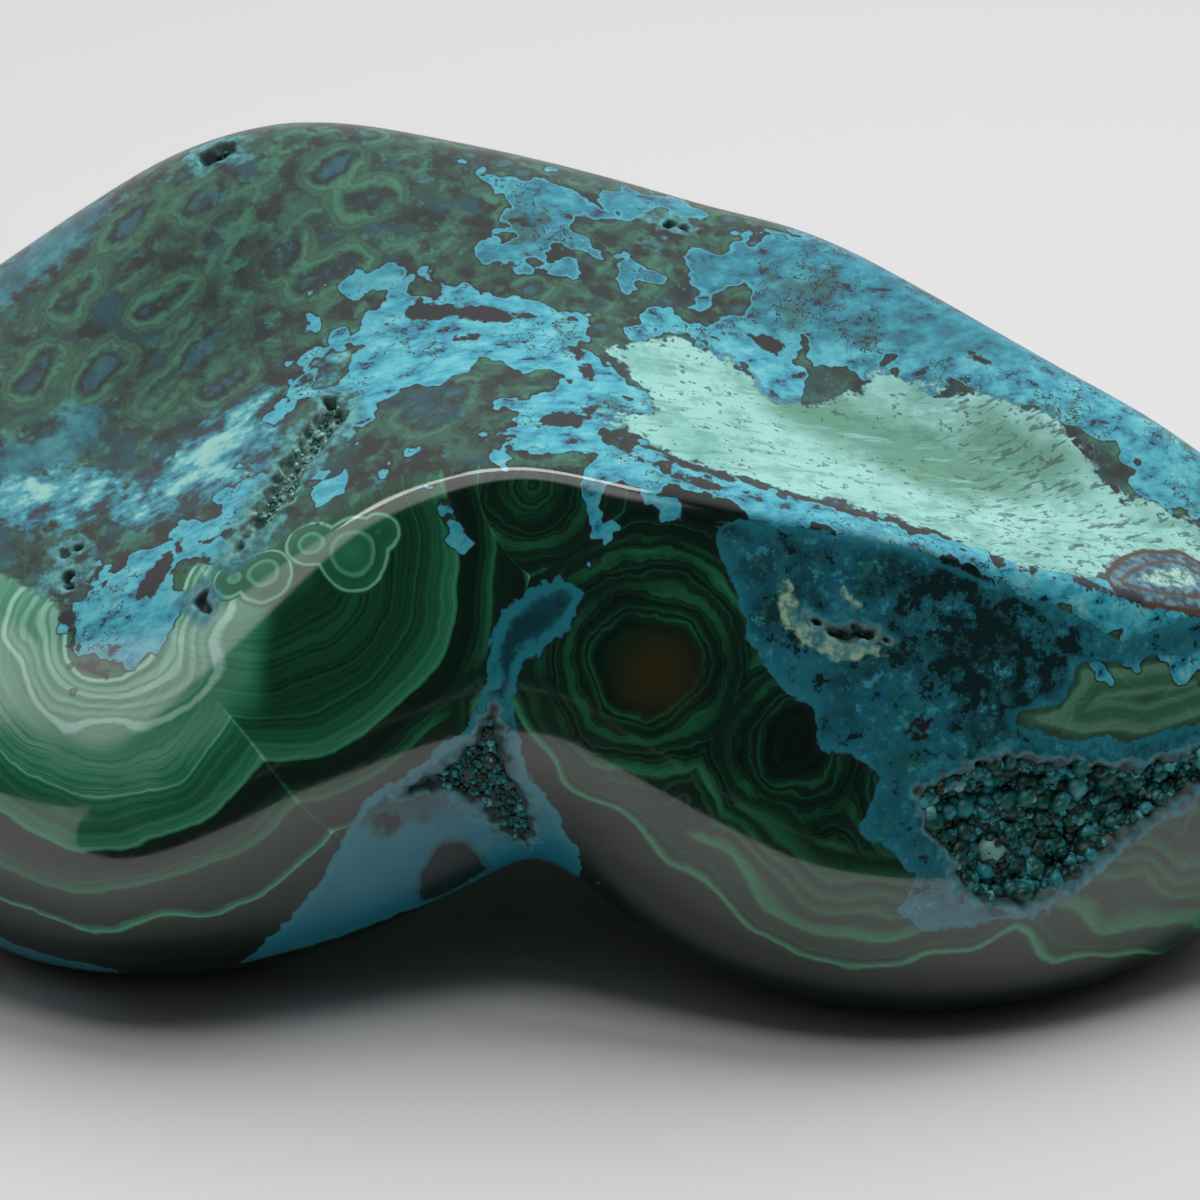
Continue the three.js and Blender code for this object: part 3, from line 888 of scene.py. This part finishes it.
def eyed_ground(recipe, place, coarse, clouds, bays, flecks, fine):
    rock = recipe.ramp(coarse, [
        (0.36, (0.010, 0.022, 0.020)), (0.43, (0.018, 0.042, 0.032)), (0.50, (0.022, 0.085, 0.056)),
        (0.58, (0.030, 0.15, 0.10)), (0.66, (0.014, 0.08, 0.07)),
    ])
    rock = recipe.mix(recipe.step(flecks, 0.44, 0.38, high=0.7), rock, (0.012, 0.018, 0.016))
    rock = recipe.mix(recipe.step(flecks, 0.57, 0.66, high=0.8), rock, (0.03, 0.24, 0.26))
    rock = recipe.mix(recipe.step(clouds, 0.50, 0.62, high=0.75), rock, (0.008, 0.10, 0.13))
    cell = recipe.node("TexVoronoi", {"Vector": recipe.stretched(place, EYE_SLANT, 2.0), "Scale": 0.42})
    wobble = recipe.math("MULTIPLY", recipe.centred(fine), 0.8)
    small = recipe.math("ADD", recipe.math("MULTIPLY_ADD", cell, 3.0, -0.5), wobble)
    here = recipe.math("MULTIPLY", recipe.step(small, EYE_REACH, EYE_REACH - 0.4),
                       recipe.step(coarse, 0.46, 0.56))
    rock = recipe.mix(recipe.math("MULTIPLY", here, 0.75), rock, recipe.levels(small, EYE_RINGS))
    swerve = recipe.math("MULTIPLY_ADD", recipe.centred(bays), 2.2, wobble)
    large = recipe.math("SUBTRACT", swerve, recipe.attribute("eye"))
    here = recipe.math("MULTIPLY", recipe.step(large, EYE_REACH, EYE_REACH - 0.6),
                       recipe.step(clouds, 0.40, 0.54, 0.25, 0.95))
    rock = recipe.mix(here, rock, recipe.levels(large, EYE_RINGS))
    return recipe.mix(recipe.step(flecks, 0.44, 0.36, high=0.4), rock, (0.012, 0.024, 0.026))


def cloud_streaks(recipe, place, depth):
    """Pale wisps drawn out along the slope of the hollow, with blue and brown between them."""
    wisps = recipe.noise(recipe.stretched(place, (0.84, 0.30, 0.46), 1.7), 0.62, 4, 0.62)
    wisps = recipe.math("ADD", wisps, recipe.step(depth, 0.0, 3.0, -0.09, 0.07))
    return recipe.ramp(wisps, [
        (0.35, (0.03, 0.05, 0.07)), (0.40, (0.02, 0.15, 0.20)), (0.46, (0.04, 0.30, 0.40)),
        (0.53, (0.09, 0.48, 0.57)), (0.58, (0.24, 0.68, 0.68)), (0.66, (0.40, 0.82, 0.74)),
    ])


# %% [markdown]
# ## The mint dish and its knob
#
# The floor of the dish is chrysocolla turning to a pale, fibrous crust. The polisher cut along the fibres,
# so they show as fine streaks. A stretched noise makes them, and a darker green is let in where the crust
# is thin.

# %% Paint the pale minerals
FIBRES = (0.93, 0.22, -0.10)
HATCHING = (0.75, 0.6, 0.1)


def ragged(recipe, depth, coarse, fine, amount, grit=0.4):
    """The depth with its edge made uneven, in millimetres."""
    depth = recipe.math("MULTIPLY_ADD", recipe.centred(coarse), amount, depth)
    return recipe.math("MULTIPLY_ADD", recipe.centred(fine), amount * grit, depth)


def mint(recipe, place, coarse, clouds, fine):
    streaks = recipe.noise(recipe.stretched(place, FIBRES, 7.0), 1.6, 3, 0.62)
    body = recipe.ramp(clouds, [
        (0.36, (0.42, 0.86, 0.80)), (0.5, (0.36, 0.80, 0.72)), (0.62, (0.26, 0.66, 0.58)),
    ])
    thin = recipe.step(ragged(recipe, recipe.attribute("dish_green"), clouds, streaks, 9.0), -1.5, 2.5)
    body = recipe.mix(thin, body, (0.13, 0.38, 0.26))
    body = recipe.mix(recipe.step(coarse, 0.47, 0.36, high=0.5), body, (0.12, 0.42, 0.36))
    body = recipe.mix(recipe.step(streaks, 0.47, 0.34, high=0.45), body, (0.06, 0.26, 0.21))
    body = recipe.mix(recipe.step(streaks, 0.55, 0.68, high=0.4), body, (0.50, 0.92, 0.90))
    across = recipe.axis(place, "X")
    hatched = recipe.noise(recipe.stretched(place, HATCHING, 5.0), 2.6, 2, 0.6)
    hatching = recipe.math("MULTIPLY", recipe.step(hatched, 0.56, 0.64), recipe.step(across, 21.0, 31.0))
    specks = recipe.math("MULTIPLY", recipe.step(fine, 0.60, 0.65), recipe.step(coarse, 0.42, 0.54))
    marks = recipe.math("MAXIMUM", hatching, specks)
    return recipe.mix(recipe.math("MULTIPLY", marks, 0.75), body, (0.02, 0.08, 0.08))


def knob(recipe, depth, fine):
    bed = recipe.ramp(fine, [
        (0.38, (0.03, 0.09, 0.13)), (0.48, (0.06, 0.20, 0.30)), (0.6, (0.16, 0.40, 0.46)),
    ])
    druse = recipe.ramp(fine, [(0.40, (0.05, 0.28, 0.24)), (0.58, (0.55, 0.85, 0.75))])
    bed = recipe.mix(recipe.step(depth, 1.7, 2.1), bed, druse)
    ring = recipe.levels(depth, [
        (-0.1, 1), (0.3, 1), (0.5, 0.2), (1.0, 0.15), (1.15, 0.8), (1.3, 0.8), (1.5, 0),
    ])
    return recipe.mix(ring, bed, RUST)


# %% [markdown]
# ## The stone's finish
#
# The front and the top of the stone were cut through different rock, so each has its own colour here: the
# front is malachite with the valley's vein and the curdled field, the top is the ground with its eyes, the
# clouds and the mint dish. Layers are laid in the order in which they cover each other. Noise is added to the
# depth of each outline before its edge is cut, so that no edge is a drawn line. The polish is the same over
# both, with only the pits left matt. One long chain of colours would look the same, but a mix of two shaders
# lets the renderer skip the side that a place doesn't need, which saves about a quarter of its time.

# %% Write how a layer is laid


def lay_blue(recipe, colour, depth, blue, rim_colour, rim_width, outline):
    """Lays a blue inside its edge, with a brown line round it and a brighter rim within it."""
    colour = recipe.mix(recipe.step(depth, -0.45, -0.2, high=outline), colour, BROWN)
    colour = recipe.mix(recipe.step(depth, -0.1, 0.05), colour, blue)
    rim = recipe.math("MULTIPLY", recipe.step(depth, -0.05, 0.1), recipe.step(depth, rim_width, 0.1))
    return recipe.mix(recipe.math("MULTIPLY", rim, 0.7), colour, rim_colour)


def lay_pits(recipe, colour, fine, rim, rim_colour, in_pit):
    """Lays a coloured rim round every pit, and a crust on its floor."""
    green_crust = recipe.ramp(fine, [(0.35, (0.003, 0.025, 0.022)), (0.65, (0.012, 0.10, 0.085))])
    pale_crust = recipe.ramp(fine, [
        (0.35, (0.015, 0.08, 0.07)), (0.5, (0.05, 0.18, 0.15)), (0.68, (0.30, 0.50, 0.42)),
    ])
    crust = recipe.mix(recipe.step(recipe.attribute("pale_crust"), -0.5, 0.0), green_crust, pale_crust)
    return recipe.mix(in_pit, recipe.mix(rim, colour, rim_colour), crust)


# %% Start the stone's material with what the front and the top share
polished_stone, recipe, finish = new_material("polished_stone")
place = recipe.place()
coarse = recipe.noise(place, 0.42, 3, 0.62)
fine = recipe.noise(place, 1.7, 2, 0.6)
clouds = recipe.noise(place, 0.2, 3, 0.6)
bays = recipe.noise(place, 0.40, 2, 0.5)
flecks = recipe.noise(place, 0.85, 3, 0.65)

turquoise = ragged(recipe, recipe.attribute("turquoise"), bays, fine, 9.0, grit=0.1)
blue = clouded_blue(recipe, place, coarse, clouds, flecks, fine)
knob_depth = ragged(recipe, recipe.attribute("knob"), coarse, fine, 0.8)
in_knob = recipe.step(knob_depth, -0.1, 0.1)
knob_colour = knob(recipe, knob_depth, fine)
in_brown = recipe.step(ragged(recipe, recipe.attribute("brown"), coarse, fine, 2.4), -0.1, 0.12)
pit = recipe.attribute("pit")
in_pit = recipe.step(pit, -0.1, 0.15)
rim = recipe.step(ragged(recipe, pit, bays, fine, 3.0, grit=0.2), -1.0, -0.4, high=0.85)

# %% Paint the front: malachite, the valley's vein and the curdled field
RUSTY_HEART = (7.5, -22.3, 23.6)

front = malachite(recipe, place, clouds, bays, fine)
rust = recipe.step(recipe.distance(place, RUSTY_HEART), 3.6, 1.0, high=0.85)
front = recipe.mix(rust, front, (0.040, 0.034, 0.009))
front = lay_blue(recipe, front, turquoise, blue, BRIGHT_BLUE, 0.5, outline=0.8)
deep_blue = ragged(recipe, recipe.attribute("deep_blue"), coarse, fine, 1.5)
in_field = recipe.step(recipe.attribute("right_field"), -1.0, 0.0)
vein_blue = smooth_blue(recipe, place, clouds, deep_blue)
deep = recipe.mix(in_field, vein_blue, curdled_blue(recipe, place, clouds))
rim_width = recipe.step(coarse, 0.42, 0.58, 0.25, 1.1)
front = lay_blue(recipe, front, deep_blue, deep, (0.024, 0.26, 0.33), rim_width, outline=0.3)
front = recipe.mix(in_brown, recipe.mix(in_knob, front, knob_colour), BROWN)
blob = ragged(recipe, recipe.attribute("blob"), coarse, fine, 1.0)
front = recipe.mix(recipe.step(blob, -0.5, -0.05, high=0.6), front, (0.03, 0.09, 0.06))
front = recipe.mix(recipe.step(blob, -0.05, 0.2), front, (0.006, 0.028, 0.030))
cream = ragged(recipe, recipe.attribute("cream"), coarse, fine, 1.6)
creamy = recipe.ramp(fine, [(0.4, (0.10, 0.34, 0.28)), (0.55, (0.42, 0.66, 0.46))])
front = recipe.mix(recipe.step(cream, -0.1, 0.2), front, creamy)
blue_rim = recipe.ramp(fine, [(0.36, (0.012, 0.12, 0.16)), (0.62, (0.035, 0.30, 0.38))])
front = lay_pits(recipe, front, fine, rim, blue_rim, in_pit)

# %% Paint the top: the ground with its eyes, the clouds and the mint dish
top = eyed_ground(recipe, place, coarse, clouds, bays, flecks, fine)
teal = ragged(recipe, recipe.attribute("teal"), coarse, fine, 6.0)
teal_blue = recipe.ramp(coarse, [
    (0.38, (0.015, 0.13, 0.17)), (0.5, (0.02, 0.24, 0.31)), (0.62, (0.07, 0.38, 0.43)),
])
top = recipe.mix(recipe.step(teal, -0.5, 0.8, high=0.8), top, teal_blue)
cloud = ragged(recipe, recipe.attribute("cloud"), coarse, fine, 7.0)
top = recipe.mix(recipe.step(cloud, -0.8, 0.4), top, cloud_streaks(recipe, place, cloud))
top = lay_blue(recipe, top, turquoise, blue, BRIGHT_BLUE, 0.5, outline=0.8)
mint_depth = ragged(recipe, recipe.attribute("mint"), coarse, fine, 3.5)
top = recipe.mix(recipe.step(mint_depth, -0.5, -0.2, high=0.5), top, (0.01, 0.06, 0.10))
top = recipe.mix(recipe.step(mint_depth, -0.1, 0.2), top, mint(recipe, place, coarse, clouds, fine))
top = recipe.mix(in_brown, recipe.mix(in_knob, top, knob_colour), BROWN)
pale_rim = recipe.ramp(fine, [(0.36, (0.02, 0.18, 0.20)), (0.62, (0.12, 0.50, 0.52))])
top = lay_pits(recipe, top, fine, rim, pale_rim, in_pit)

# %% Polish it
POLISH = 0.08
MATT = 0.7
STONE_IOR = 1.85
SWELL_SCALE = 0.12
SWELL_HEIGHT = 0.4 * MM
SWELL_STRENGTH = 0.25

gloss = recipe.step(fine, 0.3, 0.7, POLISH - 0.02, POLISH + 0.04)
roughness = recipe.lerp(recipe.step(pit, -0.5, -0.1), gloss, MATT)
swell = recipe.noise(place, SWELL_SCALE, 0)
bump = recipe.node("Bump", {"Strength": SWELL_STRENGTH, "Distance": SWELL_HEIGHT, "Height": swell})
finishes = []
for colour in (front, top):
    feeds = {"Base Color": colour, "Roughness": roughness, "IOR": STONE_IOR, "Normal": bump}
    finishes.append(recipe.node("BsdfPrincipled", feeds))
on_top = recipe.step(ragged(recipe, recipe.attribute("ground"), coarse, fine, 3.0), -0.3, 0.3)
polish = recipe.node("MixShader", {0: on_top, 1: finishes[0], 2: finishes[1]})
recipe.feed(polished_stone.node_tree.nodes["Material Output"].inputs["Surface"], polish)
polished_stone.node_tree.nodes.remove(finish)
stone.data.materials.append(polished_stone)
print("nodes in the stone's material:", len(polished_stone.node_tree.nodes))

# %% [markdown]
# ## The crystals' glint
#
# Tiny crystals never shine evenly: some faces are clean, and others are etched or dusty. Both kinds of
# crystal have this, so it is a node group with named sockets, built once and placed in each material with
# its own values. Each crystal's own shade comes from the attribute that it was given when it grew.

# %% Build the glint once, and give the crystals their glassy finish


def glint_group():
    """A roughness that wanders between two values."""
    group = bpy.data.node_groups.new("glint", "ShaderNodeTree")
    group.interface.new_socket("Place", in_out="INPUT", socket_type="NodeSocketVector")
    group.interface.new_socket("Cleanest", in_out="INPUT", socket_type="NodeSocketFloat")
    group.interface.new_socket("Dustiest", in_out="INPUT", socket_type="NodeSocketFloat")
    group.interface.new_socket("Roughness", in_out="OUTPUT", socket_type="NodeSocketFloat")
    given = group.nodes.new("NodeGroupInput").outputs
    result = group.nodes.new("NodeGroupOutput").inputs
    recipe = Recipe(group)
    speckle = recipe.noise(given["Place"], 4.0, 1)
    recipe.feed(result["Roughness"], recipe.step(speckle, 0.3, 0.7, given["Cleanest"], given["Dustiest"]))
    return group


GLINT = glint_group()
CRYSTAL_IOR = 1.45


def crystal_material(name, stops, roughness):
    material, recipe, finish = new_material(name)
    recipe.feed(finish.inputs["Base Color"], recipe.ramp(recipe.attribute("shade"), stops))
    feeds = {"Place": recipe.place(), "Cleanest": roughness, "Dustiest": roughness + 0.15}
    recipe.feed(finish.inputs["Roughness"], recipe.node("Group", feeds, node_tree=GLINT))
    recipe.feed(finish.inputs["IOR"], CRYSTAL_IOR)
    return material


green_crystals.data.materials.append(crystal_material("green_crystals", [
    (0.0, (0.014, 0.020, 0.014)), (0.1, (0.002, 0.034, 0.028)), (0.5, (0.006, 0.13, 0.11)),
    (0.8, (0.014, 0.26, 0.30)), (0.93, (0.05, 0.38, 0.42)), (1.0, (0.25, 0.52, 0.48)),
], 0.28))
pale_crystals.data.materials.append(crystal_material("pale_crystals", [
    (0.0, (0.015, 0.10, 0.10)), (0.5, (0.06, 0.24, 0.21)), (0.8, (0.20, 0.45, 0.40)),
    (1.0, (0.45, 0.70, 0.62)),
], 0.3))

# %% [markdown]
# ## The studio
#
# A polished stone is lit as much by what it mirrors as by its lamps. The room is pale overhead and behind,
# and dark towards the front. A large soft box that shows only in the polish gives the pale veil along the
# ridge. The sharp line under which the bellies turn grey is where the mirrored table ends, at a black card
# that shows only in the polish too.

# %% Set the camera
CAMERA_RISE = math.radians(22)
CAMERA_DISTANCE = 300 * MM
AIM = Vector((4, -23.47, 28.9)) * MM
LENS = 150
SENSOR = 36


def aimed(data, location, target):
    item = bpy.data.objects.new(data.name, data)
    item.location = location
    item.rotation_euler = (target - location).to_track_quat("-Z", "Y").to_euler()
    bpy.context.collection.objects.link(item)
    return item


camera_data = bpy.data.cameras.new("camera")
camera_data.lens = LENS
camera_data.sensor_width = SENSOR
camera_data.clip_start = 10 * MM
towards_camera = Vector((0, -math.cos(CAMERA_RISE), math.sin(CAMERA_RISE)))
bpy.context.scene.camera = aimed(camera_data, AIM + towards_camera * CAMERA_DISTANCE, AIM)

# %% Lay the table
TABLE_SIDE = 1500 * MM
CARD_BACK = -82 * MM
CARD_FRONT = -700 * MM
CARD_LIFT = 0.2 * MM


def sheet(name, front, back, height=0.0):
    shape = bmesh.new()
    bmesh.ops.create_grid(shape, x_segments=1, y_segments=1, size=1)
    bmesh.ops.scale(shape, verts=shape.verts, vec=(TABLE_SIDE, (back - front) / 2, 1))
    bmesh.ops.translate(shape, verts=shape.verts, vec=(0, (back + front) / 2, height))
    laid = linked(name, mesh_from(shape, name))
    return laid


def paint(laid, name, grey, roughness):
    material, recipe, finish = new_material(name)
    recipe.feed(finish.inputs["Base Color"], (grey, grey, grey))
    recipe.feed(finish.inputs["Roughness"], roughness)
    laid.data.materials.append(material)


table = sheet("table", -TABLE_SIDE, TABLE_SIDE)
paint(table, "paper", grey=0.80, roughness=0.6)

# The black card lies just above the table, in front of the stone.
card = sheet("black_card", CARD_FRONT, CARD_BACK, height=CARD_LIFT)
paint(card, "black", grey=0.01, roughness=0.9)
card.visible_camera = False
card.visible_diffuse = False
card.visible_shadow = False

# %% Light the room
PALE_SIDE = (0, 0.7, 0.71)
ROOM_GLOW = 0.50
ROOM_DARK = 0.02
ROOM_COLOUR = (0.985, 0.99, 1)
BACKDROP = 0.84
LAMP_AIM = Vector((0, 0, 20)) * MM
VEIL_TURN = math.radians(22)
VEIL_CORE = 0.3

room = bpy.data.worlds.new("room")
room.use_nodes = True
bpy.context.scene.world = room
recipe = Recipe(room.node_tree)
facing = recipe.vector("DOT_PRODUCT", recipe.node("TexCoord", out="Generated"), PALE_SIDE, out="Value")
glow = recipe.step(facing, 0.2, 0.85, ROOM_DARK, ROOM_GLOW)
background = room.node_tree.nodes["Background"]
seen = recipe.node("LightPath", out="Is Camera Ray")
recipe.feed(background.inputs["Strength"], recipe.lerp(seen, glow, BACKDROP))
recipe.feed(background.inputs["Color"], ROOM_COLOUR)


def softbox(name, location, size, radiance, colour=(1, 0.98, 0.97)):
    lamp = bpy.data.lights.new(name, "AREA")
    lamp.shape = "RECTANGLE"
    lamp.size, lamp.size_y = (side * MM for side in size)
    lamp.energy = radiance * math.pi * lamp.size * lamp.size_y
    lamp.color = colour
    return aimed(lamp, Vector(location) * MM, LAMP_AIM)


def soften_edges(lamp, full):
    """Fades a box's light towards its rim. It is full as far from its middle as that share of its side."""
    lamp.use_nodes = True
    recipe = Recipe(lamp.node_tree)
    middle = (0.5, 0.5, 0)
    away = recipe.distance(recipe.node("NewGeometry", out="Parametric"), middle)
    recipe.feed(lamp.node_tree.nodes["Emission"].inputs["Strength"], recipe.step(away, 0.5, full))


# The key lamp lights the table and the top of the stone. The veil lamp only shows as a veil on the polish.
key_lamp = softbox("key_lamp", (70, 190, 510), (400, 400), 4.0, (1, 1, 1))
key_lamp.visible_glossy = False
softbox("top_lamp", (-30, -90, 440), (170, 120), 5.2)
veil_lamp = softbox("veil_lamp", (-199, -237, 319), (720, 460), 1.3)
veil_lamp.rotation_euler.rotate_axis("Z", VEIL_TURN)
soften_edges(veil_lamp.data, VEIL_CORE)
veil_lamp.visible_diffuse = False
bpy.context.scene.view_settings.view_transform = "Standard"
